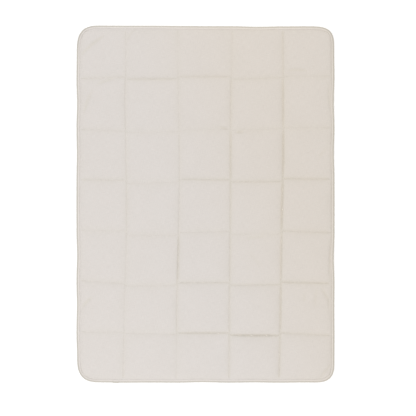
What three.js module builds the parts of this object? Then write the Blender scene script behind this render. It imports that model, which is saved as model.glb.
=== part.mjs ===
// A box-quilted duvet with a bound edge, lying flat.
// Millimetres, +Z up. +X runs across the duvet and +Y to its head end, and its underside rests on z = 0.
import * as THREE from "three";

const { lerp } = THREE.MathUtils;

// Finished size, measured over the binding
const WIDTH = 1550;
const LENGTH = 2150;
const CORNER_RADIUS = { headLeft: 108, headRight: 96, footLeft: 114, footRight: 92 };

// Filled boxes: heights above the surface, and how far from a sewn line the cloth levels out
const CROWN_HEIGHT = 28;
const SEAM_HEIGHT = 8;
const SEAM_THICKNESS = 5;
const TOP_SHOULDER = 150;
const UNDERSIDE_SHOULDER = 60;

// Curve of the rise beside a sewn line: a higher power levels out sooner, a lower root starts steeper
const TOP_CURVE = { power: 3, root: 0.6 };
const UNDERSIDE_CURVE = { power: 2, root: 1 };

// Crowns differ a little: by a share of their height, on a wave that turns by so much from box to box
const UNEVENNESS = { share: 0.06, turnAcross: 2.4, turnAlong: 1.7 };

// Edge: the body's flat seam allowance sits in the slot of a folded binding
const BINDING_WIDTH = 17;
const BINDING_CLOTH = 1.5;
const SLOT_DEPTH = 13.5;
const NOSE_LENGTH = 6;
const ALLOWANCE_THICKNESS = 4.4;
const FIT_GAP = 0.3;
const EDGE_DRAW_IN = 3;

// Sewn lines along the duvet, left to right: place across it at the head, the middle and the foot
const COLUMN_SEAMS = [
  { head: -481, middle: -478, foot: -497 },
  { head: -167, middle: -162, foot: -182 },
  { head: 156, middle: 148, foot: 136 },
  { head: 468, middle: 461, foot: 441 },
];

// Sewn lines across the duvet, foot to head: level, and how far each box's stretch starts and ends from it
const ROW_SEAMS = [
  { level: -780, ends: [[8, 8], [0, -6], [2, 3], [-10, -11], [1, -11]] },
  { level: -480, ends: [[15, 3], [-15, -10], [4, 8], [-10, -9], [8, 3]] },
  { level: -170, ends: [[12, 7], [-18, -18], [0, 6], [-7, -12], [6, 0]] },
  { level: 142, ends: [[7, 3], [-17, -11], [8, 6], [-6, -5], [12, 8]] },
  { level: 446, ends: [[4, -2], [-14, -14], [-1, 4], [-2, 4], [15, 10]] },
  { level: 762, ends: [[-9, 1], [-6, -6], [7, 7], [-9, -4], [8, 8]] },
];

// Grid of one box, as shares of its side: close together beside the sewn lines
const BOX_STEPS = [0, 0.04, 0.12, 0.25, 0.5, 0.75, 0.88, 0.96];
const JOG_SHARE = BOX_STEPS[1];
const NOSE_STEPS = 4;
const SAME_POINT = 1e-6;

const COLUMNS = COLUMN_SEAMS.length + 1;
const ROWS = ROW_SEAMS.length + 1;
const INNER_HALF_WIDTH = WIDTH / 2 - BINDING_WIDTH;
const INNER_HALF_LENGTH = LENGTH / 2 - BINDING_WIDTH;
const COVER_COLOUR = 0xddd7d0;
const BINDING_COLOUR = 0xd9d2c9;

// Grid lines over a run of boxes, each with its box and its share of the way across that box
function gridLines(boxes) {
  const lines = [];
  for (let box = 0; box < boxes; box++) {
    for (const share of BOX_STEPS) lines.push({ box, share });
  }
  lines.push({ box: boxes - 1, share: 1 });
  return lines;
}

const ACROSS = gridLines(COLUMNS);
const ALONG = gridLines(ROWS);

// Place across the duvet of a column line, which bows gently from foot to head
function columnLine(line, y) {
  if (line === 0) return -INNER_HALF_WIDTH;
  if (line === COLUMNS) return INNER_HALF_WIDTH;
  const { head, middle, foot } = COLUMN_SEAMS[line - 1];
  const t = y / INNER_HALF_LENGTH;
  return middle + ((head - foot) / 2) * t + ((head + foot) / 2 - middle) * t * t;
}

// Place along the duvet of a row line, which jogs where it crosses a column line
function rowLine(line, box, share) {
  if (line === 0) return -INNER_HALF_LENGTH;
  if (line === ROWS) return INNER_HALF_LENGTH;
  const { level, ends } = ROW_SEAMS[line - 1];
  const [start, finish] = ends[box];
  const before = box > 0 ? ends[box - 1][1] : start;
  const after = box < COLUMNS - 1 ? ends[box + 1][0] : finish;
  const nearStart = Math.max(0, 1 - share / JOG_SHARE);
  const nearFinish = Math.max(0, 1 - (1 - share) / JOG_SHARE);
  const jog = ((before - start) / 2) * nearStart + ((after - finish) / 2) * nearFinish;
  return level + lerp(start, finish, share) + jog;
}

// Centre and radius of the inner edge's arc at the corner nearest to a point
function cornerArc(x, y) {
  const end = y > 0 ? "head" : "foot";
  const side = x > 0 ? "Right" : "Left";
  const radius = CORNER_RADIUS[end + side] - BINDING_WIDTH;
  const centre = new THREE.Vector2(
    Math.sign(x) * (INNER_HALF_WIDTH - radius),
    Math.sign(y) * (INNER_HALF_LENGTH - radius),
  );
  return { centre, radius };
}

// Draws the square corner of the plan in to its arc, and leaves the rest where it is
function roundCorner(x, y) {
  const { centre, radius } = cornerArc(x, y);
  const a = ((x - centre.x) * Math.sign(x)) / radius;
  const b = ((y - centre.y) * Math.sign(y)) / radius;
  if (a <= 0 || b <= 0) return new THREE.Vector2(x, y);
  return new THREE.Vector2(
    centre.x + Math.sign(x) * radius * a * Math.sqrt(1 - (b * b) / 2),
    centre.y + Math.sign(y) * radius * b * Math.sqrt(1 - (a * a) / 2),
  );
}

// Plan of a grid point between the sewn lines of its box, and its distances from the nearest ones
function boxPoint(i, j) {
  const across = ACROSS[i];
  const along = ALONG[j];
  const low = rowLine(along.box, across.box, across.share);
  const high = rowLine(along.box + 1, across.box, across.share);
  const y = lerp(low, high, along.share);
  const left = columnLine(across.box, y);
  const right = columnLine(across.box + 1, y);
  const x = lerp(left, right, across.share);
  return {
    plan: roundCorner(x, y),
    fromColumn: Math.min(across.share, 1 - across.share) * (right - left),
    fromRow: Math.min(along.share, 1 - along.share) * (high - low),
  };
}

// Points along the binding's inner edge, anticlockwise, each with the edge's outward normal.
// Between two sewn lines the filling draws the edge in.
function edgeStations() {
  const lastI = ACROSS.length - 1;
  const lastJ = ALONG.length - 1;
  const loop = [];
  for (let i = 0; i < lastI; i++) loop.push({ i, j: 0, share: ACROSS[i].share });
  for (let j = 0; j < lastJ; j++) loop.push({ i: lastI, j, share: ALONG[j].share });
  for (let i = lastI; i > 0; i--) loop.push({ i, j: lastJ, share: ACROSS[i].share });
  for (let j = lastJ; j > 0; j--) loop.push({ i: 0, j, share: ALONG[j].share });
  return loop.map(({ i, j, share }) => {
    const { plan } = boxPoint(i, j);
    const { centre } = cornerArc(plan.x, plan.y);
    const normal = new THREE.Vector2(
      Math.max(0, (plan.x - centre.x) * Math.sign(plan.x)) * Math.sign(plan.x),
      Math.max(0, (plan.y - centre.y) * Math.sign(plan.y)) * Math.sign(plan.y),
    ).normalize();
    const drawIn = EDGE_DRAW_IN * Math.sin(Math.PI * share) ** 2;
    return { i, j, normal, point: plan.addScaledVector(normal, -drawIn) };
  });
}

const STATIONS = edgeStations();

// Share of the full rise at a point that lies so far from the nearest sewn lines
function rise({ fromColumn, fromRow }, shoulder, { power, root }) {
  const along = (distance) => {
    const short = 1 - Math.min(1, distance / shoulder);
    return (1 - short ** power) ** root;
  };
  return along(fromColumn) * along(fromRow);
}

// Heights of the top and the underside at a grid point
function boxHeights(i, j) {
  const place = boxPoint(i, j);
  const wave = Math.sin(UNEVENNESS.turnAcross * ACROSS[i].box + UNEVENNESS.turnAlong * ALONG[j].box);
  const crown = CROWN_HEIGHT * (1 + UNEVENNESS.share * wave);
  const onEdge = i === 0 || j === 0 || i === ACROSS.length - 1 || j === ALONG.length - 1;
  const thickness = onEdge ? ALLOWANCE_THICKNESS : SEAM_THICKNESS;
  const seamTop = SEAM_HEIGHT + thickness / 2;
  const seamUnderside = SEAM_HEIGHT - thickness / 2;
  return {
    top: seamTop + (crown - seamTop) * rise(place, TOP_SHOULDER, TOP_CURVE),
    underside: seamUnderside * (1 - rise(place, UNDERSIDE_SHOULDER, UNDERSIDE_CURVE)),
  };
}

// Collects points and triangles for one closed surface
class Surface {
  points = [];
  triangles = [];

  add(x, y, z) {
    return this.points.push(x, y, z) / 3 - 1;
  }

  quad(a, b, c, d) {
    this.triangles.push(a, b, c, a, c, d);
  }

  // Joins two closed loops of equal length
  band(first, second) {
    first.forEach((point, k) => {
      const next = (k + 1) % first.length;
      this.quad(point, first[next], second[next], second[k]);
    });
  }

  geometry() {
    const geometry = new THREE.BufferGeometry();
    geometry.setAttribute("position", new THREE.Float32BufferAttribute(this.points, 3));
    geometry.setIndex(this.triangles);
    geometry.computeVertexNormals();
    return geometry;
  }
}

// The filled body: two quilted faces, joined round the flat seam allowance
function bodyGeometry() {
  const surface = new Surface();
  const edgePoint = new Map(STATIONS.map(({ i, j, point }) => [`${i},${j}`, point]));
  const faces = { top: [], underside: [] };
  ALONG.forEach((_, j) => {
    faces.top.push([]);
    faces.underside.push([]);
    ACROSS.forEach((__, i) => {
      const plan = edgePoint.get(`${i},${j}`) ?? boxPoint(i, j).plan;
      const heights = boxHeights(i, j);
      faces.top[j].push(surface.add(plan.x, plan.y, heights.top));
      faces.underside[j].push(surface.add(plan.x, plan.y, heights.underside));
    });
  });
  for (let j = 0; j < ALONG.length - 1; j++) {
    for (let i = 0; i < ACROSS.length - 1; i++) {
      const { top, underside } = faces;
      surface.quad(top[j][i], top[j][i + 1], top[j + 1][i + 1], top[j + 1][i]);
      surface.quad(underside[j][i], underside[j + 1][i], underside[j + 1][i + 1], underside[j][i + 1]);
    }
  }
  const rim = (height) =>
    STATIONS.map(({ point, normal }) => {
      const outer = point.clone().addScaledVector(normal, SLOT_DEPTH - FIT_GAP);
      return surface.add(outer.x, outer.y, height);
    });
  const loops = [
    STATIONS.map(({ i, j }) => faces.underside[j][i]),
    rim(SEAM_HEIGHT - ALLOWANCE_THICKNESS / 2),
    rim(SEAM_HEIGHT + ALLOWANCE_THICKNESS / 2),
    STATIONS.map(({ i, j }) => faces.top[j][i]),
  ];
  for (let k = 0; k < loops.length - 1; k++) surface.band(loops[k], loops[k + 1]);
  return surface.geometry();
}

// Section of the folded binding: x outwards from its inner edge, y up from the sewn line.
// A path gives its round stretch two points for each division.
function bindingSection() {
  const slot = ALLOWANCE_THICKNESS / 2 + FIT_GAP;
  const half = slot + BINDING_CLOTH;
  const nose = BINDING_WIDTH - NOSE_LENGTH;
  const section = new THREE.Path();
  section.moveTo(SLOT_DEPTH, slot);
  section.lineTo(SLOT_DEPTH, -slot);
  section.lineTo(FIT_GAP, -slot);
  section.lineTo(FIT_GAP, -half);
  section.lineTo(nose, -half);
  section.absellipse(nose, 0, NOSE_LENGTH, half, -Math.PI / 2, Math.PI / 2);
  section.lineTo(FIT_GAP, half);
  section.lineTo(FIT_GAP, slot);
  const points = section.getPoints(NOSE_STEPS / 2);
  return points.filter((point, k) => k === 0 || point.distanceTo(points[k - 1]) > SAME_POINT);
}

function bindingGeometry() {
  const surface = new Surface();
  const loops = bindingSection().map((corner) =>
    STATIONS.map(({ point, normal }) => {
      const plan = point.clone().addScaledVector(normal, corner.x);
      return surface.add(plan.x, plan.y, SEAM_HEIGHT + corner.y);
    }),
  );
  loops.forEach((loop, k) => surface.band(loop, loops[(k + 1) % loops.length]));
  return surface.geometry();
}

function clothPiece(name, geometry, colour) {
  const material = new THREE.MeshStandardMaterial({ color: colour, roughness: 0.95, metalness: 0 });
  const mesh = new THREE.Mesh(geometry, material);
  mesh.name = name;
  return mesh;
}

const duvet = new THREE.Group();
duvet.add(
  clothPiece("quilted_body", bodyGeometry(), COVER_COLOUR),
  clothPiece("edge_binding", bindingGeometry(), BINDING_COLOUR),
);

export default duvet;
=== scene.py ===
"""A box-quilted duvet with a bound edge, lying flat: its padded boxes, folded binding, sewing and stage."""

import math
from collections import namedtuple

import bpy
import numpy as np
from bpy.props import FloatProperty, FloatVectorProperty, PointerProperty
from bpy.types import NodeSocket, Operator, Panel, PropertyGroup
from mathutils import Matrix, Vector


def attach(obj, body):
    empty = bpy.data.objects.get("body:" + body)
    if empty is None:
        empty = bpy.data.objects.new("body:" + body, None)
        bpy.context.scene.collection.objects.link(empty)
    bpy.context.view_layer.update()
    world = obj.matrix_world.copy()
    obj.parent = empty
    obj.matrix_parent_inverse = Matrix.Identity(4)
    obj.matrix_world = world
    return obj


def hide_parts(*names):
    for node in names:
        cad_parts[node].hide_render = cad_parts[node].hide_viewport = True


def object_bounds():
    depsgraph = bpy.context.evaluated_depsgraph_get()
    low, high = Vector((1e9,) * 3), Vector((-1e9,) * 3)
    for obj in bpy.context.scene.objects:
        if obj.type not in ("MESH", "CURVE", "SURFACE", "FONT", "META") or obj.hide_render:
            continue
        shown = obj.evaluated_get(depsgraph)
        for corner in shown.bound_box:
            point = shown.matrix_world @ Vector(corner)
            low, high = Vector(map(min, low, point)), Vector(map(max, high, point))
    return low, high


bl_info = {
    "name": "Box-Quilted Duvet",
    "version": (1, 0, 0),
    "blender": (4, 5, 0),
    "location": "3D View > Sidebar > Duvet",
    "description": "Models a padded duvet sewn in boxes, with its binding and sewing, on a pale floor",
    "category": "Mesh",
}

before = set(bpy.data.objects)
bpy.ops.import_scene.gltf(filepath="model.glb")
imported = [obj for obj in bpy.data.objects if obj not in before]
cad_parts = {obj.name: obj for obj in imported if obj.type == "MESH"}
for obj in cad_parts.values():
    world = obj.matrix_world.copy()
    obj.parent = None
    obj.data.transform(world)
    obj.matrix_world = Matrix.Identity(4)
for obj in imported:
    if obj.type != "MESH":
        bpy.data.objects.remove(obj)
CAD_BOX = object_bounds()
CAD_SIZE = CAD_BOX[1] - CAD_BOX[0]
MM = 0.001
NEARLY_ZERO = 1e-9
BODY = "root"

# Sewn lines along the duvet, left to right: place across it at the head, the middle and the foot in mm,
# how far it strays to the right of that curve, how tightly it is sewn, both box by box from the foot,
# and how much more gently the cloth falls to it from the left than from the right
COLUMN_SEAMS = (
    {
        "places": (-480, -477, -496),
        "strays": (0, -2, 4, 3, -1, -7, 0),
        "tight": (0.4, 0.15, 0.35, 0.55, 0.45, 0.5, 0.35),
        "lean": -0.8,
    },
    {
        "places": (-166, -161, -181),
        "strays": (4, -3, -1, 4, 5, -1, -2),
        "tight": (0.05, 0.65, 1.05, 0.45, 0.5, 0.4, 0.05),
        "lean": -0.8,
    },
    {
        "places": (157, 149, 138),
        "strays": (3, 1, 2, 2, -1, -2, 5),
        "tight": (0.7, 0.7, 0.75, 0.8, 0.95, 0.65, 0.2),
        "lean": 0,
    },
    {
        "places": (469, 462, 442),
        "strays": (0, 0, -2, -1, 3, -1, -4),
        "tight": (0.8, 1.05, 1.0, 1.15, 1.1, 1.0, 0.65),
        "lean": 1,
    },
)

# Sewn lines across the duvet, foot to head: level in mm, how far each box's stretch starts and ends from it,
# and how tightly it is sewn, left to right
ROW_SEAMS = (
    {
        "level": -776,
        "ends": ((10, 9), (4, -4), (2, 4), (-10, -12), (5, -12)),
        "tight": (0.25, 0.2, 1.05, 1.25, 0.6),
    },
    {
        "level": -476,
        "ends": ((20, 1), (-13, -9), (5, 7), (-9, -6), (9, 1)),
        "tight": (0.35, 0.4, 0.7, 0.65, 0.85),
    },
    {
        "level": -168,
        "ends": ((14, 10), (-17, -17), (-1, 7), (-12, -10), (10, -2)),
        "tight": (0.2, 0.2, 0.25, 0.25, 0.55),
    },
    {
        "level": 143,
        "ends": ((6, 3), (-18, -8), (9, 5), (-7, -5), (13, 9)),
        "tight": (0.55, 0.1, 0.78, 0.68, 0.7),
    },
    {
        "level": 448,
        "ends": ((4, -9), (-14, -11), (-6, 6), (-3, 8), (14, 12)),
        "tight": (0.3, 0.15, 0, 0.2, 0.3),
    },
    {
        "level": 762,
        "ends": ((-6, 4), (-9, -8), (5, 5), (-11, 0), (4, 9)),
        "tight": (0.5, 0.8, 0.6, 0.5, 0.15),
    },
)

# Soft creases in the top cloth: middle in mm, direction in degrees, length and width in mm,
# and height in mm, below zero for troughs
Crease = namedtuple("Crease", "x y turn length width height")
CREASES = (
    Crease(-684, 959, 40, 190, 9, -5.4),
    Crease(-669, 997, 38, 110, 12, 2.0),
    Crease(-451, 1024, 52, 90, 9, -3.6),
    Crease(-598, 744, 20, 110, 10, -4.6),
    Crease(-712, 612, 70, 150, 10, -4.2),
    Crease(-688, 606, 65, 110, 12, 1.6),
    Crease(-714, -587, 45, 80, 9, -5.6),
    Crease(552, 808, -2, 125, 8, -4.2),
    Crease(743, 650, 93, 170, 9, -3.4),
    Crease(702, 310, 55, 90, 10, -2.6),
    Crease(106, 460, -15, 65, 9, -4.6),
    Crease(207, 436, 6, 52, 8, -6.5),
    Crease(186, 420, 6, 44, 8, 2.4),
    Crease(303, -196, 5, 120, 10, -3.6),
    Crease(300, -330, -50, 110, 12, -2.2),
    Crease(746, -340, 88, 250, 8, -3.8),
    Crease(721, -545, 121, 90, 8, -5.0),
    Crease(741, -604, 90, 75, 7, -3.6),
    Crease(661, -559, 85, 110, 9, -3.2),
    Crease(634, -600, 80, 90, 11, 1.6),
    Crease(594, -560, 88, 60, 8, -2.6),
    Crease(722, -1000, 50, 105, 9, -4.4),
)

# The four rounded corners: the way each lies across and along the duvet, how far it reaches along its end
# and its side edge in mm, over the binding, and how light its binding is. Their fullness is 2 for a plain
# arc and more for a squarer one.
CORNERS = (
    {"x": -1, "y": 1, "end": 175, "side": 223, "tone": 0.93},
    {"x": 1, "y": 1, "end": 167, "side": 183, "tone": 0.95},
    {"x": -1, "y": -1, "end": 199, "side": 239, "tone": 0.94},
    {"x": 1, "y": -1, "end": 175, "side": 159, "tone": 0.99},
)
CORNER_FULLNESS = 4.4
CORNER_TONE_REACH = 130 * MM

# The four edges: how far each is pulled in and up between two sewn lines, box by box from the left or
# the foot, in mm, how gently the cloth rises from it, how much painted shade darkens the cloth along the
# binding, and how light its binding is, a painted light that is lightest at the head and darkest on the right
EDGES = {
    "foot": {"pulls": (2, 1, 3.5, 2, 1.7), "ease": 0.4, "painted_shade_strength": 0, "tone": 1.025},
    "head": {"pulls": (-0.6, -1, 0.5, 4, -1.5), "ease": 0.6, "painted_shade_strength": 0, "tone": 1.05},
    "left": {"pulls": (3.8, 3.5, 4.5, -0.5, 3, 4, 2), "ease": 0.4, "painted_shade_strength": 0.2, "tone": 1.005},
    "right": {"pulls": (0.7, 1.5, 4.5, -0.5, 4, 4.5, 2), "ease": 0.2, "painted_shade_strength": 0.6, "tone": 0.99},
}

# How far the head edge's left end lies out and its right end lies in
HEAD_LEAN = 3 * MM

# Grid of the cloth: cells across a box, how far they crowd towards the seams, the share of a box in which
# a row seam jogs, and how near a line a point counts as sewn
COLUMNS = len(COLUMN_SEAMS) + 1
ROWS = len(ROW_SEAMS) + 1
CELLS_PER_BOX = 44
SEAM_CROWDING = 0.6
JOG_SHARE = 0.03
ON_SEAM = 0.01 * MM

# Settling of the cover cloth: how long and how far it moves, how firmly the filling holds it,
# the fine wrinkles that start it, and the cloth itself
SETTLE_FRAMES = 12
SETTLE_LIMIT = 8 * MM
FILLING_HOLD = 0.24
WRINKLE_SEED = 11
WRINKLE_HEIGHT = 0.15 * MM
SMOOTH_PASSES = 3
COVER_CLOTH = {
    "quality": 4,
    "mass": 0.003,
    "tension_stiffness": 15,
    "compression_stiffness": 15,
    "shear_stiffness": 5,
    "bending_stiffness": 2,
    "pin_stiffness": 1,
    "use_pressure": True,
    "uniform_pressure_force": 10,
}

# Creases: how strongly they bow, and the trough depth in mm at which their painted shade is full
CREASE_BOW = 0.12
CREASE_FULL_SHADE = 5

# Share of the top's puckers that shows underneath, and how far the allowance reaches under the binding
UNDERSIDE_SHARE = 0.6
ALLOWANCE_REACH = 13.2 * MM

# Folded binding: its cloth, the slot for the seam allowance, its rounded fold, its gap to the body,
# and where its stitches run and how deep they sink
BINDING_CLOTH = 1.5 * MM
BINDING_SLOT = 13.5 * MM
BINDING_NOSE = 9 * MM
BINDING_NOSE_POINTS = 11
BINDING_GAP = 0.3 * MM
BINDING_STITCH_LINE = 3.2 * MM
BINDING_STITCH_DEPTH = 0.5 * MM

# Upper face of the binding: outwards from its inner edge, and up from its plain thickness
BINDING_FACE = (
    (BINDING_GAP, -0.6 * MM),
    (0.9 * MM, 0),
    (2.2 * MM, 0),
    (BINDING_STITCH_LINE, -BINDING_STITCH_DEPTH),
    (4.2 * MM, 0.1 * MM),
    (6.2 * MM, 0.25 * MM),
)

# Puckers along the binding: number and start of each wave round the edge, how far they swell it
# and push it out, and how far from its inner edge they begin
PUCKER_WAVES = ((113, 0.4), (171, 2.1), (262, 4.0))
PUCKER_SWELL = 0.06
PUCKER_PUSH = 0.4 * MM
PUCKER_START = 4 * MM

# Where the strip's two ends lap on the foot edge: from where to where across the duvet, how far the lap
# stands out and swells, and the width and tone of the mark at each end
LAP_ENDS = (-556 * MM, -521 * MM)
LAP_PUSH = 2 * MM
LAP_SWELL = 0.1
LAP_MARK_WIDTH = 4 * MM
LAP_MARK_TONE = 0.94

# One stitch: its length as a share of the pitch, its sides, where it bends, and how far its ends dip and
# it stands proud of the cloth, as shares of the thread
STITCH_LENGTH = 0.8
STITCH_SIDES = 5
STITCH_BENDS = (0.3, 0.7)
STITCH_DIP = 0.9
STITCH_PROUD = 0.3

# Cloth: pitch of its weave, how much its threads waver, and the tones of its gaps and threads, painted shade
# in the gaps and a painted highlight on the threads
WEAVE_PITCH = 1 * MM
WEAVE_WAVER = 0.4
WEAVE_TONES = (0.98, 1.06)

# Slubs, the thicker and thinner threads: their length, width, noise and tones
SLUB_LENGTH = 30 * MM
SLUB_WIDTH = 1.6 * MM
SLUB_NOISE = {"Scale": 1, "Detail": 3}
SLUB_SPAN = (0.3, 0.7)
SLUB_TONES = (0.968, 1.032)

# Painted light in the cloth, cooler on the left and at the foot, warmer and a little darker towards the right
# and the head: how fast it changes across and along the duvet, and where it starts and ends
PAINTED_LIGHT_SLOPE = (0.5, 0.18, 0)
PAINTED_LIGHT_SPAN = (0.36, 0.84)

# Noises: the cloth's faint mottling with its tones, its brushed nap, and the thread's fibres with how dark
# they get
MOTTLE = {"Scale": 9, "Detail": 5, "Roughness": 0.55}
MOTTLE_TONES = ((0.35, (0.994, 0.993, 0.99)), (0.65, (1.004, 1.004, 1.004)))
NAP = {"Scale": 70, "Detail": 5, "Roughness": 0.65}
FIBRES = {"Scale": 900, "Detail": 2}
FIBRE_SPAN = (0.35, 0.65)
FIBRE_SHADE = 0.93

# How far the nap and the weave stand out
NAP_RELIEF = {"Strength": 0.35, "Distance": 0.8 * MM}
COVER_RELIEF = {"Strength": 0.15, "Distance": 0.3 * MM}
BINDING_RELIEF = {"Strength": 0.2, "Distance": 0.3 * MM}

# Binding's tone by its distance from the fold, painted shade on the fold and a painted highlight on the band
# beside
# it: the distance that counts, the shares of it at which the dark fold ends and the light band is lightest,
# and the tone of that band
FOLD_SPAN = 20 * MM
FOLD_ENDS = 0.42
FOLD_BAND = 0.62
BAND_HIGHLIGHT_TONE = 1.085

# Finishes, by the names of the shader's sockets
COVER_FINISH = {"Roughness": 0.92, "Specular IOR Level": 0.2, "Sheen Weight": 0.15, "Sheen Roughness": 0.5}
BINDING_FINISH = {"Roughness": 0.88, "Specular IOR Level": 0.25, "Sheen Weight": 0.1}
THREAD_FINISH = {"Roughness": 0.7, "Specular IOR Level": 0.3}
FLOOR_FINISH = {
    "Roughness": 0.9,
    "Specular IOR Level": 0.0,
    "Emission Color": (1, 1, 1, 1),
    "Emission Strength": 0.22,
}

# Stage: floor, lights and camera, in metres from the middle of the floor
FLOOR_WIDTH = 80
FLOOR_DROP = 0.3 * MM
OVERHEAD_HEIGHT = 6
OVERHEAD_SPREAD = math.radians(60)
KEY_PLACE = (-2.4, -1.2, 4.0)
KEY_SIZE = (2.5, 2.5)
KEY_COLOUR = (0.97, 0.985, 1.0)
END_PLACE = (0, 2.9, 1.0)
END_TILT = 1.11
END_SIZE = (2.2, 0.8)
STUDIO_COLOUR = (1.0, 0.995, 0.985, 1)
BACKDROP = {"Color": (1, 1, 1, 1), "Strength": 1.1}
CAMERA_PLACE = (15 * MM, -21.6 * MM)
CAMERA_SENSOR = 36
CAMERA_REACH = 200
FRAMED_HEIGHT = 10 * MM


class DuvetSizes(PropertyGroup):
    """Sizes of the duvet, and how its cloth lies"""

    width: FloatProperty(
        name="Width",
        description="Across the duvet, over the binding, where its sewn lines end",
        default=CAD_SIZE.x + 1.5 * MM,
        subtype="DISTANCE",
    )
    length: FloatProperty(
        name="Length",
        description="From foot to head, over the binding, where its sewn lines end",
        default=CAD_SIZE.y - 5 * MM,
        subtype="DISTANCE",
    )
    binding_width: FloatProperty(
        name="Binding Width",
        description="From the binding's inner edge to its fold",
        default=17 * MM,
        subtype="DISTANCE",
    )
    crown: FloatProperty(
        name="Crown Height",
        description="Usual height of a box's middle above the floor",
        default=28 * MM,
        subtype="DISTANCE",
    )
    unevenness: FloatProperty(
        name="Unevenness",
        description="How much the crowns differ, as a share of their height",
        default=0.09,
        subtype="FACTOR",
    )
    seam_height: FloatProperty(
        name="Seam Height",
        description="Middle of a tightly sewn line above the floor",
        default=8 * MM,
        subtype="DISTANCE",
    )
    seam_thickness: FloatProperty(
        name="Seam Thickness",
        description="Both cloths and the filling where they are sewn together",
        default=5 * MM,
        subtype="DISTANCE",
    )
    slack: FloatProperty(
        name="Slack",
        description="How much higher a loosely sewn line lies than a tight one",
        default=13 * MM,
        subtype="DISTANCE",
    )
    allowance: FloatProperty(
        name="Seam Allowance",
        description="Thickness of the flat edge inside the binding",
        default=4.4 * MM,
        subtype="DISTANCE",
    )
    edge_lift: FloatProperty(
        name="Edge Lift",
        description="How far the edge rises between two sewn lines, for each length that it is pulled in",
        default=1.3,
        subtype="FACTOR",
    )
    ease: FloatProperty(
        name="Cloth Ease",
        description="How much larger the cover cloth is than the filling under it",
        default=0.015,
        subtype="FACTOR",
    )
    stitch_pitch: FloatProperty(
        name="Stitch Pitch",
        description="From one stitch to the next",
        default=4.5 * MM,
        subtype="DISTANCE",
    )
    thread: FloatProperty(
        name="Thread",
        description="Diameter of the sewing thread",
        default=0.8 * MM,
        subtype="DISTANCE",
    )


class DuvetColours(PropertyGroup):
    """Colours of the duvet's cloths and thread"""

    # Cool and warm cloth are the two ends of a painted light, cooler on the left and at the foot, warmer and
    # a little darker towards the right and the head
    cool: FloatVectorProperty(
        name="Cool Cloth",
        description="Cloth towards the left and the foot, where it is whitest",
        default=(0.737, 0.696, 0.666),
        subtype="COLOR",
    )
    warm: FloatVectorProperty(
        name="Warm Cloth",
        description="Cloth towards the right and the head, where it has yellowed",
        default=(0.74, 0.683, 0.625),
        subtype="COLOR",
    )
    # Painted shade, a little warm, in the grooves of the sewn lines, in the creases' troughs and beside the
    # binding
    painted_shade: FloatVectorProperty(
        name="Painted Shade Tint",
        description="Tint of the cloth along sewn lines and creases",
        default=(0.976, 0.977, 0.942),
        subtype="COLOR",
    )
    # Painted shade on the binding's outer fold
    fold: FloatVectorProperty(
        name="Fold Tint",
        description="Tint of the binding along its outer fold",
        default=(0.826, 0.823, 0.779),
        subtype="COLOR",
    )
    thread: FloatVectorProperty(
        name="Thread",
        description="Sewing thread",
        default=(0.725, 0.68, 0.625),
        subtype="COLOR",
    )


class StageSettings(PropertyGroup):
    """Floor, lights and camera"""

    floor: FloatVectorProperty(
        name="Floor",
        description="Pale floor under the duvet",
        default=(0.9, 0.9, 0.9),
        subtype="COLOR",
    )
    overhead: FloatProperty(
        name="Overhead Light",
        description="Strength of the broad light from above",
        default=1.02,
    )
    key_power: FloatProperty(
        name="Key Light",
        description="Power of the soft light over the left side",
        default=22.0,
        unit="POWER",
    )
    end_power: FloatProperty(
        name="End Lights",
        description="Power of each soft light past the head and the foot",
        default=4.4,
        unit="POWER",
    )
    fill: FloatProperty(
        name="Fill Light",
        description="Strength of the even light from all round",
        default=0.57,
    )
    camera_height: FloatProperty(
        name="Camera Height",
        description="Height of the camera above the floor",
        default=12.0,
        subtype="DISTANCE",
    )
    view_width: FloatProperty(
        name="View Width",
        description="Width that the camera sees, level with the duvet",
        default=2502.656 * MM,
        subtype="DISTANCE",
    )


def box_lines(boxes):
    """Box number and share of the way across it for each grid line, closer together by the seams."""
    even = np.arange(CELLS_PER_BOX) / CELLS_PER_BOX
    share = even - SEAM_CROWDING * np.sin(2 * np.pi * even) / (2 * np.pi)
    box = np.repeat(np.arange(boxes), CELLS_PER_BOX)
    return np.append(box, boxes - 1), np.append(np.tile(share, boxes), 1.0)


def rise(distance, shoulder, power, root):
    """Share of the full height at a distance from a sewn line."""
    short = 1 - np.minimum(1, distance / shoulder)
    return (1 - short**power) ** root


def fade(distance, width, power=2):
    """One at no distance, softly falling to nothing past a width."""
    return np.exp(-((distance / width) ** power))


def both_ways(across, along):
    """Joint rise from the two nearest sewn lines, full in a box's corners as well."""
    steep = [1 / np.maximum(share, NEARLY_ZERO) ** 2 for share in (across, along)]
    return 1 / np.sqrt(sum(steep) - 1)


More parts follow.
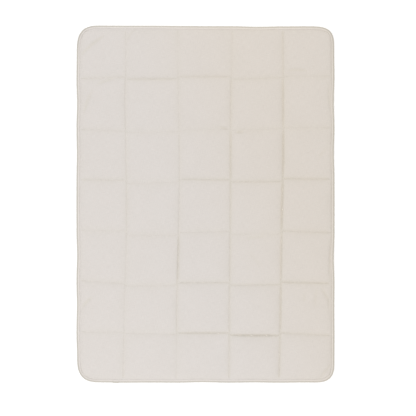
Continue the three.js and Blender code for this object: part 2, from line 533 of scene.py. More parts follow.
class QuiltPlan:
    """Grid of the quilted cloth, rows from foot to head: its plan and its heights over the filling."""

    # How far from a sewn line each face is at its full height, and how far the edge is felt
    TOP_SHOULDER = 150 * MM
    UNDERSIDE_SHOULDER = 60 * MM
    EDGE_SHOULDER = 16 * MM

    # Form of that rise: its power, its root by a tight line, and what a loose line and a lean add to the root
    TOP_POWER = 3
    UNDERSIDE_POWER = 2
    TIGHT_ROOT = 0.5
    LOOSE_ROOT = 0.4
    LEAN_EFFECT = 0.2

    # How the crowns vary from box to box, across and along
    CROWN_WAVES = (2.4, 1.7)

    # Painted shade along a sewn line: its width, and the width and share of the faint halo of painted shade
    # round it
    PAINTED_SHADE_WIDTH = 8 * MM
    HALO_WIDTH = 28 * MM
    HALO_SHARE = 0.3

    # Share of a loose line's lift that shows underneath, and of its looseness that is left at a crossing
    UNDERSIDE_LIFT = 0.3
    CROSSING_SHARE = 0.65

    def __init__(self, sizes):
        self.sizes = sizes
        self.half_width = sizes.width / 2 - sizes.binding_width
        self.half_length = sizes.length / 2 - sizes.binding_width
        self.box_i, self.share_i = box_lines(COLUMNS)
        self.box_j, self.share_j = box_lines(ROWS)
        rows = np.array([self.row_line(k) for k in range(ROWS + 1)])
        low, high = rows[self.box_j], rows[self.box_j + 1]
        self.y = low + (high - low) * self.share_j[:, None]
        columns = np.array([self.column_line(k, self.y) for k in range(COLUMNS + 1)])
        at = np.arange(len(self.box_i))
        left, right = columns[self.box_i, :, at].T, columns[self.box_i + 1, :, at].T
        self.x = left + (right - left) * self.share_i
        self.gaps = {
            "left": self.share_i * (right - left),
            "right": (1 - self.share_i) * (right - left),
            "low": self.share_j[:, None] * (high - low),
            "high": (1 - self.share_j[:, None]) * (high - low),
        }
        self.pull_edges()
        self.round_corners()
        self.lay_heights()

    def column_line(self, line, y):
        """Place across the duvet of a column line, which bows gently from foot to head."""
        if line in (0, COLUMNS):
            return np.full_like(y, self.half_width if line else -self.half_width)
        seam = COLUMN_SEAMS[line - 1]
        t = y / self.half_length
        head, middle, foot = seam["places"]
        slant = (head - foot) / 2
        bow = (head + foot) / 2 - middle
        rows = np.array([-self.half_length, *(row["level"] * MM for row in ROW_SEAMS), self.half_length])
        strays = np.interp(y, (rows[:-1] + rows[1:]) / 2, seam["strays"])
        return (middle + slant * t + bow * t * t + strays) * MM

    def row_line(self, line):
        """Place along the duvet of a row line at each grid column; it jogs where it crosses a column line."""
        if line == 0:
            return np.full(len(self.box_i), -self.half_length)
        if line == ROWS:
            return self.half_length + HEAD_LEAN * (1 - 2 * (self.box_i + self.share_i) / COLUMNS)
        seam = ROW_SEAMS[line - 1]
        start, finish = np.array(seam["ends"], float).T
        before = np.append(start[0], finish[:-1])
        after = np.append(start[1:], finish[-1])
        near_start = np.maximum(0, 1 - self.share_i / JOG_SHARE)
        near_finish = np.maximum(0, 1 - (1 - self.share_i) / JOG_SHARE)
        jog = ((before - start) / 2)[self.box_i] * near_start
        jog += ((after - finish) / 2)[self.box_i] * near_finish
        run = start[self.box_i] * (1 - self.share_i) + finish[self.box_i] * self.share_i
        return (seam["level"] + run + jog) * MM

    def pull_edges(self):
        """Pulls the outer boxes' edges in and up between two sewn lines."""
        swell_i = np.sin(np.pi * self.share_i) ** 2
        swell_j = np.sin(np.pi * self.share_j[:, None]) ** 2
        pulls = {side: np.array(edge["pulls"]) * MM for side, edge in EDGES.items()}
        near = {
            "left": self.nearness(self.box_i, self.share_i, 0),
            "right": self.nearness(self.box_i, self.share_i, COLUMNS),
            "foot": self.nearness(self.box_j, self.share_j, 0)[:, None],
            "head": self.nearness(self.box_j, self.share_j, ROWS)[:, None],
        }
        pull = {side: pulls[side][self.box_j][:, None] * swell_j * near[side] for side in ("left", "right")}
        pull |= {side: pulls[side][self.box_i] * swell_i * near[side] for side in ("foot", "head")}
        self.x += pull["left"] - pull["right"]
        self.y += pull["foot"] - pull["head"]
        self.edge_lift = sum(pull.values()) * self.sizes.edge_lift

    @staticmethod
    def nearness(box, share, line):
        """One at an outer line, falling to nothing across the box beside it."""
        return np.maximum(0, 1 - np.abs(box + share - line)) ** 2

    def round_corners(self):
        """Draws each square corner of the plan in to a soft arc."""
        n = CORNER_FULLNESS
        for corner in CORNERS:
            reach_x = corner["x"] * (corner["end"] * MM - self.sizes.binding_width)
            reach_y = corner["y"] * (corner["side"] * MM - self.sizes.binding_width)
            centre_x = corner["x"] * self.half_width - reach_x
            centre_y = corner["y"] * self.half_length - reach_y
            a = (self.x - centre_x) / reach_x
            b = (self.y - centre_y) / reach_y
            inside = (a > 0) & (b > 0)
            a, b = a[inside], b[inside]
            self.x[inside] = centre_x + reach_x * a * (1 - b**n / 2) ** (1 / n)
            self.y[inside] = centre_y + reach_y * b * (1 - a**n / 2) ** (1 / n)

    def looseness(self):
        """How loosely the lines round each point's box are sewn, the nearest line counting most."""
        row_loose = 1 - np.array([seam["tight"] for seam in ROW_SEAMS])
        column_loose = 1 - np.array([seam["tight"] for seam in COLUMN_SEAMS]).T
        stretches = (row_loose[:, :-1], row_loose[:, 1:], column_loose[:-1], column_loose[1:])
        crossing = np.pad(sum(stretches) / 4 * self.CROSSING_SHARE, 1)
        along_i, along_j = self.share_i, self.share_j[:, None]
        bulge_i = 1 - (2 * along_i - 1) ** 4
        bulge_j = 1 - (2 * along_j - 1) ** 4
        ends_i = crossing[:, self.box_i] * (1 - along_i) + crossing[:, self.box_i + 1] * along_i
        ends_j = crossing[self.box_j] * (1 - along_j) + crossing[self.box_j + 1] * along_j
        loose_rows = np.pad(row_loose, ((1, 1), (0, 0)))[:, self.box_i] * bulge_i + ends_i * (1 - bulge_i)
        loose_columns = np.pad(column_loose, ((0, 0), (1, 1)))[self.box_j] * bulge_j + ends_j * (1 - bulge_j)
        loose = {
            "left": loose_columns[:, self.box_i],
            "right": loose_columns[:, self.box_i + 1],
            "low": loose_rows[self.box_j],
            "high": loose_rows[self.box_j + 1],
        }
        weights = {side: 1 / (gap + ON_SEAM) ** 2 for side, gap in self.gaps.items()}
        return sum(weights[side] * loose[side] for side in loose) / sum(weights.values())

    def lay_heights(self):
        """Heights of the top cloth, the underside and both faces of the sewn lines."""
        sizes = self.sizes
        from_column = np.minimum(self.gaps["left"], self.gaps["right"])
        from_row = np.minimum(self.gaps["low"], self.gaps["high"])
        from_line = np.minimum(from_column, from_row)
        self.sewn = from_line < ON_SEAM
        wave_i, wave_j = self.CROWN_WAVES
        wave = np.sin(wave_i * self.box_i + wave_j * self.box_j[:, None])
        crown = sizes.crown * (1 + sizes.unevenness * wave)
        loose = self.looseness()
        lift = loose * sizes.slack
        half = np.full_like(lift, sizes.seam_thickness / 2)
        half[[0, -1]] = sizes.allowance / 2
        half[:, [0, -1]] = sizes.allowance / 2
        self.middle = sizes.seam_height + self.edge_lift
        self.seam_top = self.middle + half + lift
        self.seam_under = self.middle - half + lift * self.UNDERSIDE_LIFT
        from_edge = {
            "left": self.half_width + self.x,
            "right": self.half_width - self.x,
            "foot": self.half_length + self.y,
            "head": self.half_length - self.y,
        }
        by_edge = {side: fade(gap, self.EDGE_SHOULDER) for side, gap in from_edge.items()}
        root = self.TIGHT_ROOT + self.LOOSE_ROOT * loose
        ease = {side: EDGES[side]["ease"] * near for side, near in by_edge.items()}
        root_across = root + np.maximum(ease["left"], ease["right"])
        root_along = root + np.maximum(ease["foot"], ease["head"])
        leans = np.array([0, *(seam["lean"] for seam in COLUMN_SEAMS), 0])
        lean = np.where(self.share_i < 0.5, -leans[self.box_i], leans[self.box_i + 1])
        full = both_ways(
            rise(from_column, self.TOP_SHOULDER, self.TOP_POWER, root_across + self.LEAN_EFFECT * lean),
            rise(from_row, self.TOP_SHOULDER, self.TOP_POWER, root_along),
        )
        self.top = self.seam_top + (crown - self.seam_top) * full
        flat = both_ways(
            rise(from_column, self.UNDERSIDE_SHOULDER, self.UNDERSIDE_POWER, 1),
            rise(from_row, self.UNDERSIDE_SHOULDER, self.UNDERSIDE_POWER, 1),
        )
        self.under = self.seam_under * (1 - flat)
        # Painted shade along tightly sewn lines and in a faint halo round every line, kept off the rim
        sharp = fade(from_line, self.PAINTED_SHADE_WIDTH) * (1 - loose) ** 2
        broad = fade(from_line, self.HALO_WIDTH) * self.HALO_SHARE
        # Painted shade in the groove beside the binding, strongest on the right
        edge_painted_shade = [EDGES[side]["painted_shade_strength"] * fade(gap, self.PAINTED_SHADE_WIDTH) for side, gap in from_edge.items()]
        inside = 1 - np.max(list(by_edge.values()), 0)
        self.painted_shade = np.maximum(inside * np.minimum(1, sharp + broad), np.max(edge_painted_shade, 0))

    def rim(self):
        """Row and column numbers of the points round the edge, anticlockwise from the foot's left corner."""
        rows, columns = len(self.box_j), len(self.box_i)
        index = np.arange(rows * columns).reshape(rows, columns)
        sides = (index[0, :-1], index[:-1, -1], index[-1, :0:-1], index[:0:-1, 0])
        return np.divmod(np.concatenate(sides), columns)

    def rim_frame(self):
        """Points round the edge, the outward direction at each, and the distance along the edge."""
        edge = np.stack([self.x[self.rim()], self.y[self.rim()]], 1)
        along = np.roll(edge, -1, 0) - np.roll(edge, 1, 0)
        along /= np.linalg.norm(along, axis=1)[:, None]
        outward = np.stack([along[:, 1], -along[:, 0]], 1)
        steps = np.linalg.norm(np.roll(edge, -1, 0) - edge, axis=1)
        return edge, outward, np.append(0, np.cumsum(steps))


def new_object(name, points, faces):
    """Adds a mesh object at the origin, smooth all over."""
    mesh = bpy.data.meshes.new(name)
    mesh.from_pydata(np.asarray(points).tolist(), [], [list(map(int, face)) for face in faces])
    mesh.validate()
    mesh.shade_smooth()
    made = bpy.data.objects.new(name, mesh)
    bpy.context.scene.collection.objects.link(made)
    return made


def grid_faces(index):
    """Quads over a grid of point numbers, facing up where rows run to +Y and columns to +X."""
    corners = (index[:-1, :-1], index[:-1, 1:], index[1:, 1:], index[1:, :-1])
    return np.stack(corners, -1).reshape(-1, 4)


def select_only(piece):
    """Makes one object the only selected one, and active."""
    bpy.ops.object.select_all(action="DESELECT")
    piece.select_set(True)
    bpy.context.view_layer.objects.active = piece


def finish_piece(piece, replaced=None):
    """Hangs a finished piece on the duvet's body and hides the solid it replaces, if any."""
    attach(piece, BODY)
    if replaced:
        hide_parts(replaced)


def settle_cover(points, faces, sewn, ease):
    """Lets a roomy cover cloth settle on the filling, held at its sewn lines, and returns its points."""
    cover = new_object("settling_cover", points, faces)
    held = cover.vertex_groups.new(name="held")
    held.add(np.flatnonzero(sewn).tolist(), 1.0, "REPLACE")
    held.add(np.flatnonzero(~sewn).tolist(), FILLING_HOLD, "REPLACE")
    select_only(cover)
    bpy.ops.object.modifier_add(type="CLOTH")
    cloth = cover.modifiers[-1]
    for name, value in COVER_CLOTH.items():
        setattr(cloth.settings, name, value)
    cloth.settings.vertex_group_mass = held.name
    cloth.settings.shrink_min = -ease
    cloth.settings.effector_weights.gravity = 0
    cloth.collision_settings.use_collision = False
    cloth.point_cache.frame_start = 1
    cloth.point_cache.frame_end = SETTLE_FRAMES
    for number in range(1, SETTLE_FRAMES + 1):
        bpy.context.scene.frame_set(number)
    bpy.ops.object.modifier_apply(modifier=cloth.name)
    settled = np.empty(len(points) * 3)
    cover.data.vertices.foreach_get("co", settled)
    bpy.data.objects.remove(cover)
    bpy.context.scene.frame_set(1)
    moved = settled.reshape(-1, 3) - points
    reach = np.linalg.norm(moved, axis=1)[:, None]
    return points + moved * np.minimum(1, SETTLE_LIMIT / np.maximum(reach, NEARLY_ZERO))


def smooth_cover(top, sewn):
    """Evens out the finest wrinkles, which a thick cloth can't hold, and leaves the sewn lines alone."""
    for _ in range(SMOOTH_PASSES):
        inner = top[1:-1, 1:-1]
        around = (top[:-2, 1:-1] + top[2:, 1:-1] + top[1:-1, :-2] + top[1:-1, 2:]) / 4
        inner += np.where(sewn[1:-1, 1:-1, None], 0, (around - inner) / 2)


def crease_heights(x, y):
    """Added height of the soft creases that lie across the top cloth, and how much painted shade darkens
    their troughs.
    """
    height = np.zeros_like(x)
    painted_shade_strength = np.zeros_like(x)
    for crease in CREASES:
        turn = math.radians(crease.turn)
        dx, dy = x / MM - crease.x, y / MM - crease.y
        along = dx * math.cos(turn) + dy * math.sin(turn)
        across = dy * math.cos(turn) - dx * math.sin(turn)
        across += CREASE_BOW * along**2 / crease.length
        shape = fade(2 * along, crease.length, 4) * fade(across, crease.width)
        height += crease.height * shape
        # Painted shade in each crease's trough, darker where the trough is deeper
        painted_shade_strength = np.maximum(painted_shade_strength, shape * max(0, -crease.height) / CREASE_FULL_SHADE)
    return height * MM, painted_shade_strength


def body_mesh(plan, top, under):
    """Points and faces of the closed body: the top, a coarser underside and the flat allowance round them."""
    sizes = plan.sizes
    index = np.arange(plan.x.size).reshape(plan.x.shape)
    under = under[::2, ::2]
    under_index = plan.x.size + np.arange(under.shape[0] * under.shape[1]).reshape(under.shape[:2])
    edge, outward, _ = plan.rim_frame()
    flange = edge + outward * ALLOWANCE_REACH
    loops = []
    points = [top.reshape(-1, 3), under.reshape(-1, 3)]
    count = plan.x.size + under_index.size
    for side in (1, -1):
        height = plan.middle[plan.rim()] + side * sizes.allowance / 2
        points.append(np.column_stack([flange, height]))
        loops.append(count + np.arange(len(flange)))
        count += len(flange)
    rim_j, rim_i = plan.rim()
    top_rim = index[rim_j, rim_i]
    under_rim = under_index[rim_j[::2] // 2, rim_i[::2] // 2]
    faces = [*grid_faces(index), *grid_faces(under_index)[:, ::-1]]
    for first, second in ((top_rim, loops[0]), (loops[0], loops[1])):
        faces += list(np.stack([first, second, np.roll(second, -1), np.roll(first, -1)], 1))
    fine, between, after = loops[1][::2], loops[1][1::2], np.roll(loops[1][::2], -1)
    coarse_after = np.roll(under_rim, -1)
    faces += list(np.stack([fine, under_rim, between], 1))
    faces += list(np.stack([between, under_rim, coarse_after], 1))
    faces += list(np.stack([between, coarse_after, after], 1))
    return np.concatenate(points), faces


class MESH_OT_duvet_body(Operator):
    """Make the padded body, its cover settled over the filling by a cloth simulation"""

    bl_idname = "mesh.duvet_body"
    bl_label = "Padded Body"

    def execute(self, context):
        plan = QuiltPlan(context.scene.duvet_sizes)
        top = np.stack([plan.x, plan.y, plan.top], -1)
        wrinkles = np.random.default_rng(WRINKLE_SEED).normal(0, WRINKLE_HEIGHT, plan.x.shape)
        top[..., 2] += np.where(plan.sewn, 0, wrinkles)
        index = np.arange(plan.x.size).reshape(plan.x.shape)
        settled = settle_cover(top.reshape(-1, 3), grid_faces(index), plan.sewn.ravel(), plan.sizes.ease)
        top = settled.reshape(top.shape)
        smooth_cover(top, plan.sewn)
        puckers = (top[..., 2] - plan.top) * plan.under / plan.seam_under
        under = np.stack([plan.x, plan.y, np.maximum(0, plan.under - UNDERSIDE_SHARE * puckers)], -1)
        creases, painted_shade_strength = crease_heights(plan.x, plan.y)
        top[..., 2] += np.where(plan.sewn, 0, creases)
        points, faces = body_mesh(plan, top, under)
        body = new_object("duvet_body", points, faces)
        # Painted shade of the cover, point by point on the top and the coarser underside
        painted_shade = np.zeros(len(points))
        painted_shade_faces = np.append(np.maximum(plan.painted_shade, painted_shade_strength), plan.painted_shade[::2, ::2])
        painted_shade[: painted_shade_faces.size] = painted_shade_faces
        body.data.attributes.new("painted_shade", "FLOAT", "POINT").data.foreach_set("value", painted_shade)
        body.data.materials.append(cover_material(context.scene.duvet_colours))
        finish_piece(body, "quilted_body")
        return {"FINISHED"}


def binding_section(sizes):
    """Section of the folded strip: outwards from its inner edge, and up from the sewn line."""
    slot = sizes.allowance / 2 + BINDING_GAP
    half = slot + BINDING_CLOTH
    nose = sizes.binding_width - BINDING_NOSE
    upper = [(BINDING_GAP, slot), *((out, half + up) for out, up in BINDING_FACE)]
    turns = np.linspace(math.pi / 2, -math.pi / 2, BINDING_NOSE_POINTS)
    fold = [(nose + BINDING_NOSE * math.cos(t), half * math.sin(t)) for t in turns]
    lower = [(x, -z) for x, z in reversed(upper)]
    return np.array([*upper, *fold, *lower, (BINDING_SLOT, -slot), (BINDING_SLOT, slot)])


def binding_lap(edge):
    """How far each point of the edge lies in the lap of the strip's two ends, and on the mark of an end."""
    across, along = edge.T
    on_foot = along < 0
    start, finish = LAP_ENDS
    lap = fade(across - (start + finish) / 2, (finish - start) / 2, 6)
    marks = sum(fade(across - end, LAP_MARK_WIDTH) for end in LAP_ENDS)
    return lap * on_foot, marks * on_foot


def binding_tone(plan, edge, outward, marks):
    """How light the binding is at each point of the edge: by its side, a painted light that is lighter at the
    head and foot and darker on the right; by corners; and on the lap's marks.
    """
    facing = {
        "foot": -outward[:, 1],
        "head": outward[:, 1],
        "left": -outward[:, 0],
        "right": outward[:, 0],
    }
    # Painted light: each side's binding lighter or darker as the light falls on that side
    tone = sum(EDGES[side]["tone"] * np.maximum(0, share) ** 2 for side, share in facing.items())
    for corner in CORNERS:
        tip = (corner["x"] * plan.half_width, corner["y"] * plan.half_length)
        near = fade(np.linalg.norm(edge - tip, axis=1), CORNER_TONE_REACH)
        tone *= 1 + (corner["tone"] - 1) * near
    return tone * (1 + (LAP_MARK_TONE - 1) * marks)


class MESH_OT_duvet_binding(Operator):
    """Make the strip folded over the edge, a little puckered by its sewing"""

    bl_idname = "mesh.duvet_binding"
    bl_label = "Edge Binding"

    def execute(self, context):
        sizes = context.scene.duvet_sizes
        plan = QuiltPlan(sizes)
        edge, outward, distance = plan.rim_frame()
        section = binding_section(sizes)
        turn = 2 * np.pi * distance[:-1] / distance[-1]
        waves = [np.sin(number * turn + start) for number, start in PUCKER_WAVES]
        pucker = sum(waves) / len(waves)
        lap, marks = binding_lap(edge)
        swell = 1 + PUCKER_SWELL * pucker[:, None] * (section[:, 0] > PUCKER_START)
        swell += LAP_SWELL * lap[:, None]
        push = PUCKER_PUSH * pucker + LAP_PUSH * lap
        reach = section[:, 0] + push[:, None] * (section[:, 0] > BINDING_SLOT)
        plan_points = edge[:, None] + outward[:, None] * reach[..., None]
        heights = plan.middle[plan.rim()][:, None] + section[:, 1] * swell
        points = np.concatenate([plan_points, heights[..., None]], -1)
        index = np.arange(points.shape[0] * points.shape[1]).reshape(points.shape[:2])
        across, along = np.roll(index, -1, 1), np.roll(index, -1, 0)
        faces = np.stack([index, across, np.roll(across, -1, 0), along], -1).reshape(-1, 4)
        binding = new_object("edge_strip", points.reshape(-1, 3), faces)
        tone = binding_tone(plan, edge, outward, marks)
        tone_at = binding.data.attributes.new("tone", "FLOAT", "POINT")
        tone_at.data.foreach_set("value", np.repeat(tone, len(section)))
        sides = np.linalg.norm(np.diff(section, axis=0, append=section[:1]), axis=1)
        girth = np.append(0, np.cumsum(sides))
        along_uv = np.stack([distance[:-1], distance[:-1], distance[1:], distance[1:]], -1)[:, None]
        across_uv = np.stack([girth[:-1], girth[1:], girth[1:], girth[:-1]], -1)[None]
        uv = np.stack(np.broadcast_arrays(along_uv, across_uv), -1)
        binding.data.uv_layers.new(name="strip").data.foreach_set("uv", uv.ravel())
        fold_at = float(girth[section[:, 0].argmax()])
        binding.data.materials.append(binding_material(context.scene.duvet_colours, fold_at))
        finish_piece(binding, "edge_binding")
        return {"FINISHED"}


def one_stitch(sizes):
    """Models one stitch along +X: a short thread whose ends dip into the cloth."""
    length = sizes.stitch_pitch * STITCH_LENGTH
    bpy.ops.object.select_all(action="DESELECT")
    bpy.ops.mesh.primitive_cylinder_add(
        vertices=STITCH_SIDES,
        radius=sizes.thread / 2,
        depth=length,
        location=(length / 2, 0, 0),
        rotation=(0, math.pi / 2, 0),
    )
    stitch = bpy.context.object
    bpy.ops.object.transform_apply(location=True, rotation=True, scale=True)
    bpy.ops.object.mode_set(mode="EDIT")
    for share in STITCH_BENDS:
        bpy.ops.mesh.select_all(action="SELECT")
        bpy.ops.mesh.bisect(plane_co=(length * share, 0, 0), plane_no=(1, 0, 0))
    bpy.ops.object.mode_set(mode="OBJECT")
    for vertex in stitch.data.vertices:
        share = vertex.co.x / length
        vertex.co.z -= sizes.thread * STITCH_DIP * (2 * share - 1) ** 2
    bpy.ops.object.shade_smooth()
    return stitch


def sew(name, stitch, paths):
    """Repeats a stitch along each path and joins the runs into one piece."""
    runs = []
    for points, closed in paths:
        curve = bpy.data.curves.new("sewn_line", "CURVE")
        curve.dimensions = "3D"
        curve.twist_mode = "Z_UP"
        spline = curve.splines.new("POLY")
        spline.points.add(len(points) - 1)
        spline.points.foreach_set("co", np.column_stack([points, np.ones(len(points))]).ravel())
        spline.use_cyclic_u = closed
        line = bpy.data.objects.new("sewn_line", curve)
        bpy.context.scene.collection.objects.link(line)
        select_only(stitch)
        bpy.ops.object.duplicate()
        run = bpy.context.object
        bpy.ops.object.modifier_add(type="ARRAY")
        array = run.modifiers[-1]
        array.fit_type = "FIT_CURVE"
        array.curve = line
        array.use_relative_offset = False
        array.use_constant_offset = True
        array.constant_offset_displace = (bpy.context.scene.duvet_sizes.stitch_pitch, 0, 0)
        bpy.ops.object.modifier_add(type="CURVE")
        bend = run.modifiers[-1]
        bend.object = line
        bpy.ops.object.modifier_apply(modifier=array.name)
        bpy.ops.object.modifier_apply(modifier=bend.name)
        bpy.data.objects.remove(line)
        runs.append(run)
    bpy.ops.object.select_all(action="DESELECT")
    for run in runs:
        run.select_set(True)
    bpy.context.view_layer.objects.active = runs[0]
    bpy.ops.object.join()
    sewing = bpy.context.object
    sewing.name = name
    return sewing


class MESH_OT_duvet_quilting(Operator):
    """Sew the quilting lines on the top and on the underside"""

    bl_idname = "mesh.duvet_quilting"
    bl_label = "Quilting Stitches"

    def execute(self, context):
        sizes = context.scene.duvet_sizes
        plan = QuiltPlan(sizes)
        material = thread_material(context.scene.duvet_colours)
        stitch = one_stitch(sizes)
        proud = sizes.thread * STITCH_PROUD
        faces = {"quilting_top": plan.seam_top + proud, "quilting_underside": plan.seam_under - proud}
        for name, height in faces.items():
            grid = np.stack([plan.x, plan.y, height], -1)
            lines = [grid[1:-1, CELLS_PER_BOX * k] for k in range(1, COLUMNS)]
            lines += [grid[CELLS_PER_BOX * k, 1:-1] for k in range(1, ROWS)]
            sewing = sew(name, stitch, [(line, False) for line in lines])
            sewing.data.materials.append(material)
            finish_piece(sewing)
        bpy.data.objects.remove(stitch)
        return {"FINISHED"}


class MESH_OT_duvet_edge_sewing(Operator):
    """Sew the binding down along its inner edge, above and below"""

    bl_idname = "mesh.duvet_edge_sewing"
    bl_label = "Edge Stitches"

    def execute(self, context):
        sizes = context.scene.duvet_sizes
        plan = QuiltPlan(sizes)
        edge, outward, _ = plan.rim_frame()
        sewn = edge + outward * BINDING_STITCH_LINE
        half = sizes.allowance / 2 + BINDING_GAP + BINDING_CLOTH
        above = half - BINDING_STITCH_DEPTH + sizes.thread * STITCH_PROUD
        stitch = one_stitch(sizes)
        paths = []
        for side in (1, -1):
            height = plan.middle[plan.rim()] + side * above
            paths.append((np.column_stack([sewn, height]), True))
        sewing = sew("edge_stitches", stitch, paths)
        sewing.data.materials.append(thread_material(context.scene.duvet_colours))
        finish_piece(sewing)
        bpy.data.objects.remove(stitch)
        return {"FINISHED"}


def node(tree, kind, inputs=None, **settings):
    """Adds a node; an input given as another node's socket is linked, and a plain value is set."""
    made = tree.nodes.new(kind)
    for name, value in settings.items():
        setattr(made, name, value)
    for name, value in (inputs or {}).items():
        if isinstance(value, NodeSocket):
            tree.links.new(value, made.inputs[name])
        else:
            made.inputs[name].default_value = value
    return made


def new_material(name, finish):
    """A node material with its tree and its shader, set to a finish."""
    material = bpy.data.materials.new(name)
    material.use_nodes = True
    shader = material.node_tree.nodes["Principled BSDF"]
    for socket, value in finish.items():
        shader.inputs[socket].default_value = value
    return material, material.node_tree, shader


def grey(tone):
    """The same tone in all three channels."""
    return (tone, tone, tone)


def maths(tree, operation, *values):
    """Result of a sum on other nodes' sockets and plain values."""
    return node(tree, "ShaderNodeMath", dict(enumerate(values)), operation=operation).outputs[0]


def noise(tree, coords, settings):
    """Even noise from 0 to 1."""
    return node(tree, "ShaderNodeTexNoise", settings | {"Vector": coords}).outputs["Fac"]


def relief(tree, settings, **shape):
    """Direction of a surface that a height raises in fine relief."""
    return node(tree, "ShaderNodeBump", settings | shape).outputs["Normal"]


def ramp(tree, factor, *stops, ease="LINEAR"):
    """A colour that runs between tones, each given with its place from 0 to 1."""
    made = node(tree, "ShaderNodeValToRGB", {"Fac": factor})
    made.color_ramp.interpolation = ease
    elements = made.color_ramp.elements
    elements[0].position, elements[1].position = stops[0][0], stops[-1][0]
    for place, _ in stops[1:-1]:
        elements.new(place)
    for element, (_, tone) in zip(elements, stops):
        element.color = (*tone, 1)
    return made.outputs["Color"]


def tinted(tree, base, tint):
    """One colour multiplied by another; a Mix node's colours are its inputs 6 and 7 and its output 2."""
    made = node(tree, "ShaderNodeMix", {"Factor": 1.0}, data_type="RGBA", blend_type="MULTIPLY")
    tree.links.new(base, made.inputs[6])
    tree.links.new(tint, made.inputs[7])
    return made.outputs[2]


def cloth_tone(tree, coords, colours):
    """Off-white cloth with painted light, cooler towards the left and the foot, warmer and a little darker
    towards the right and the head, faintly mottled.
    """
    across = node(tree, "ShaderNodeVectorMath", {0: coords, 1: PAINTED_LIGHT_SLOPE}, operation="DOT_PRODUCT")
    place = maths(tree, "ADD", across.outputs["Value"], 0.5)
    stops = zip(PAINTED_LIGHT_SPAN, (colours.cool, colours.warm))
    # Painted light across the cloth, from cool to warm
    painted_light_tone = ramp(tree, place, *stops, ease="EASE")
    return tinted(tree, painted_light_tone, ramp(tree, noise(tree, coords, MOTTLE), *MOTTLE_TONES))


def weave(tree, coords):
    """Height of a plain weave with threads along X and Y, from 0 to 1; a Wave node repeats every pi / 10."""
    bands = {"Vector": coords, "Scale": math.pi / (10 * WEAVE_PITCH), "Distortion": WEAVE_WAVER}
    threads = [node(tree, "ShaderNodeTexWave", bands, bands_direction=axis).outputs["Fac"] for axis in "XY"]
    return maths(tree, "MULTIPLY", *threads)


def slubs(tree, coords):
    """Tint of the thicker and thinner threads that run both ways through a cloth."""
    streaks = []
    stops = list(zip(SLUB_SPAN, map(grey, SLUB_TONES)))
    for stretch in ((1 / SLUB_LENGTH, 1 / SLUB_WIDTH, 0), (1 / SLUB_WIDTH, 1 / SLUB_LENGTH, 0)):
        place = node(tree, "ShaderNodeVectorMath", {0: coords, 1: stretch}, operation="MULTIPLY")
        streaks.append(ramp(tree, noise(tree, place.outputs["Vector"], SLUB_NOISE), *stops))
    return tinted(tree, *streaks)


def woven(tree, coords):
    """Tint of a plain weave with its slubs, painted shade in the small gaps between its threads and a painted
    highlight on their crowns, and the weave's height.
    """
    height = weave(tree, coords)
    # Painted shade in the gaps between the threads, painted highlight on their crowns
    shade = ramp(tree, height, *zip((0, 1), map(grey, WEAVE_TONES)))
    return tinted(tree, slubs(tree, coords), shade), height


def cover_material(colours):
    """Brushed off-white cotton: a fine weave under a short, rubbed nap."""
    material, tree, shader = new_material("brushed_cover_cloth", COVER_FINISH)
    coords = node(tree, "ShaderNodeTexCoord").outputs["Object"]
    # Painted shade along the sewn lines, in the crease troughs and beside the binding
    painted_shade = node(tree, "ShaderNodeAttribute", attribute_name="painted_shade").outputs["Fac"]
    painted_shade_tint = ramp(tree, painted_shade, (0, grey(1)), (1, colours.painted_shade))
    threaded, threads = woven(tree, coords)
    cloth = tinted(tree, cloth_tone(tree, coords, colours), threaded)
    tree.links.new(tinted(tree, cloth, painted_shade_tint), shader.inputs["Base Color"])
    brushed = relief(tree, NAP_RELIEF, Height=noise(tree, coords, NAP))
    tree.links.new(relief(tree, COVER_RELIEF, Height=threads, Normal=brushed), shader.inputs["Normal"])
    return material


def binding_material(colours, fold_at):
    """Binding of the same cloth, its weave along the strip, with painted shade along its outer fold and a
    painted highlight on the band beside it.
    """
    material, tree, shader = new_material("binding_strip", BINDING_FINISH)
    texture = node(tree, "ShaderNodeTexCoord").outputs
    strip = node(tree, "ShaderNodeSeparateXYZ", {"Vector": texture["UV"]})
    away = maths(tree, "ABSOLUTE", maths(tree, "SUBTRACT", strip.outputs["Y"], fold_at))
    # Painted shade on the fold and a painted highlight on the band beside it
    stops = ((FOLD_ENDS, colours.fold), (FOLD_BAND, grey(BAND_HIGHLIGHT_TONE)), (1, grey(1)))
    painted_fold_light = ramp(tree, maths(tree, "DIVIDE", away, FOLD_SPAN), *stops)
    threaded, threads = woven(tree, texture["UV"])
    cloth = tinted(tree, cloth_tone(tree, texture["Object"], colours), threaded)
    # Tone of the binding point by point, which holds the painted light of each side
    tone = node(tree, "ShaderNodeAttribute", attribute_name="tone").outputs["Fac"]
    tree.links.new(tinted(tree, tinted(tree, cloth, painted_fold_light), tone), shader.inputs["Base Color"])
    tree.links.new(relief(tree, BINDING_RELIEF, Height=threads), shader.inputs["Normal"])
    return material


def thread_material(colours):
    """Spun sewing thread, a little darker than the cloth."""
    material, tree, shader = new_material("sewing_thread", THREAD_FINISH)
    coords = node(tree, "ShaderNodeTexCoord").outputs["Object"]
    dark = [channel * FIBRE_SHADE for channel in colours.thread]
    stops = zip(FIBRE_SPAN, (dark, colours.thread))
    tree.links.new(ramp(tree, noise(tree, coords, FIBRES), *stops), shader.inputs["Base Color"])
    return material


def floor_material(colour):
    """Pale studio floor, bright enough to lose soft shadows."""
    material, _, shader = new_material("pale_floor", FLOOR_FINISH)
    shader.inputs["Base Color"].default_value = (*colour, 1)
    return material


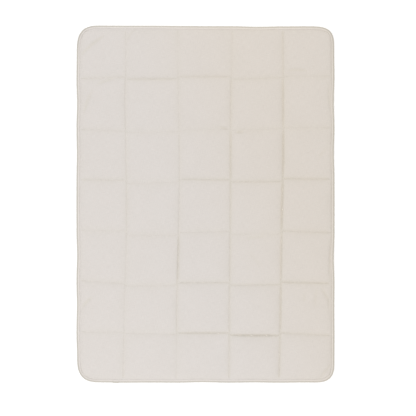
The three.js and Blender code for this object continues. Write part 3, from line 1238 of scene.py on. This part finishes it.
def soft_studio(strength):
    """Even light from all round, behind which only white shows."""
    world = bpy.data.worlds.new("soft_studio")
    world.use_nodes = True
    tree = world.node_tree
    light = tree.nodes["Background"]
    light.inputs["Color"].default_value = STUDIO_COLOUR
    light.inputs["Strength"].default_value = strength
    white = node(tree, "ShaderNodeBackground", BACKDROP)
    seen = node(tree, "ShaderNodeLightPath").outputs["Is Camera Ray"]
    shown = {0: seen, 1: light.outputs["Background"], 2: white.outputs["Background"]}
    both = node(tree, "ShaderNodeMixShader", shown)
    tree.links.new(both.outputs["Shader"], tree.nodes["World Output"].inputs["Surface"])
    return world


def soft_light(power, size, location, rotation=(0, 0, 0)):
    """Adds a broad light that the camera doesn't see."""
    bpy.ops.object.light_add(type="AREA", location=location, rotation=rotation)
    light = bpy.context.object
    light.data.shape = "RECTANGLE"
    light.data.size, light.data.size_y = size
    light.data.energy = power
    light.visible_camera = False
    return light


class SCENE_OT_duvet_stage(Operator):
    """Lay the floor, light the duvet softly from above and all round, and look straight down"""

    bl_idname = "scene.duvet_stage"
    bl_label = "Stage"

    def execute(self, context):
        stage = context.scene.duvet_stage
        bpy.ops.object.select_all(action="DESELECT")
        bpy.ops.mesh.primitive_plane_add(size=FLOOR_WIDTH, location=(0, 0, -FLOOR_DROP))
        floor = context.object
        floor.name = "floor"
        floor.data.materials.append(floor_material(stage.floor))
        bpy.ops.object.light_add(type="SUN", location=(0, 0, OVERHEAD_HEIGHT))
        overhead = context.object
        overhead.data.energy = stage.overhead
        overhead.data.angle = OVERHEAD_SPREAD
        key = soft_light(stage.key_power, KEY_SIZE, KEY_PLACE)
        key.data.color = KEY_COLOUR
        across, out, height = END_PLACE
        for end in (1, -1):
            soft_light(stage.end_power, END_SIZE, (across, out * end, height), (-END_TILT * end, 0, 0))
        context.scene.world = soft_studio(stage.fill)
        bpy.ops.object.camera_add(location=(*CAMERA_PLACE, stage.camera_height), rotation=(0, 0, 0))
        camera = context.object
        camera.data.sensor_width = CAMERA_SENSOR
        camera.data.lens = CAMERA_SENSOR * (stage.camera_height - FRAMED_HEIGHT) / stage.view_width
        camera.data.clip_end = CAMERA_REACH
        context.scene.camera = camera
        context.scene.view_settings.view_transform = "Standard"
        return {"FINISHED"}


OPERATORS = (
    MESH_OT_duvet_body,
    MESH_OT_duvet_binding,
    MESH_OT_duvet_quilting,
    MESH_OT_duvet_edge_sewing,
    SCENE_OT_duvet_stage,
)
SETTINGS = {"duvet_sizes": DuvetSizes, "duvet_colours": DuvetColours, "duvet_stage": StageSettings}


class VIEW3D_PT_duvet(Panel):
    """Sizes, colours and steps of the duvet"""

    bl_label = "Duvet"
    bl_space_type = "VIEW_3D"
    bl_region_type = "UI"
    bl_category = "Duvet"

    def draw(self, context):
        for group, kind in SETTINGS.items():
            box = self.layout.box()
            for name in kind.__annotations__:
                box.prop(getattr(context.scene, group), name)
        for operator in OPERATORS:
            self.layout.operator(operator.bl_idname)


def register():
    for group in SETTINGS.values():
        bpy.utils.register_class(group)
    for name, group in SETTINGS.items():
        setattr(bpy.types.Scene, name, PointerProperty(type=group))
    for operator in OPERATORS:
        bpy.utils.register_class(operator)
    bpy.utils.register_class(VIEW3D_PT_duvet)


def unregister():
    bpy.utils.unregister_class(VIEW3D_PT_duvet)
    for operator in reversed(OPERATORS):
        bpy.utils.unregister_class(operator)
    for name, group in SETTINGS.items():
        delattr(bpy.types.Scene, name)
        bpy.utils.unregister_class(group)


def main():
    """Registers the add-on, then makes every piece and the stage."""
    register()
    bpy.ops.mesh.duvet_body()
    bpy.ops.mesh.duvet_binding()
    bpy.ops.mesh.duvet_quilting()
    bpy.ops.mesh.duvet_edge_sewing()
    bpy.ops.scene.duvet_stage()


if __name__ == "__main__":
    main()
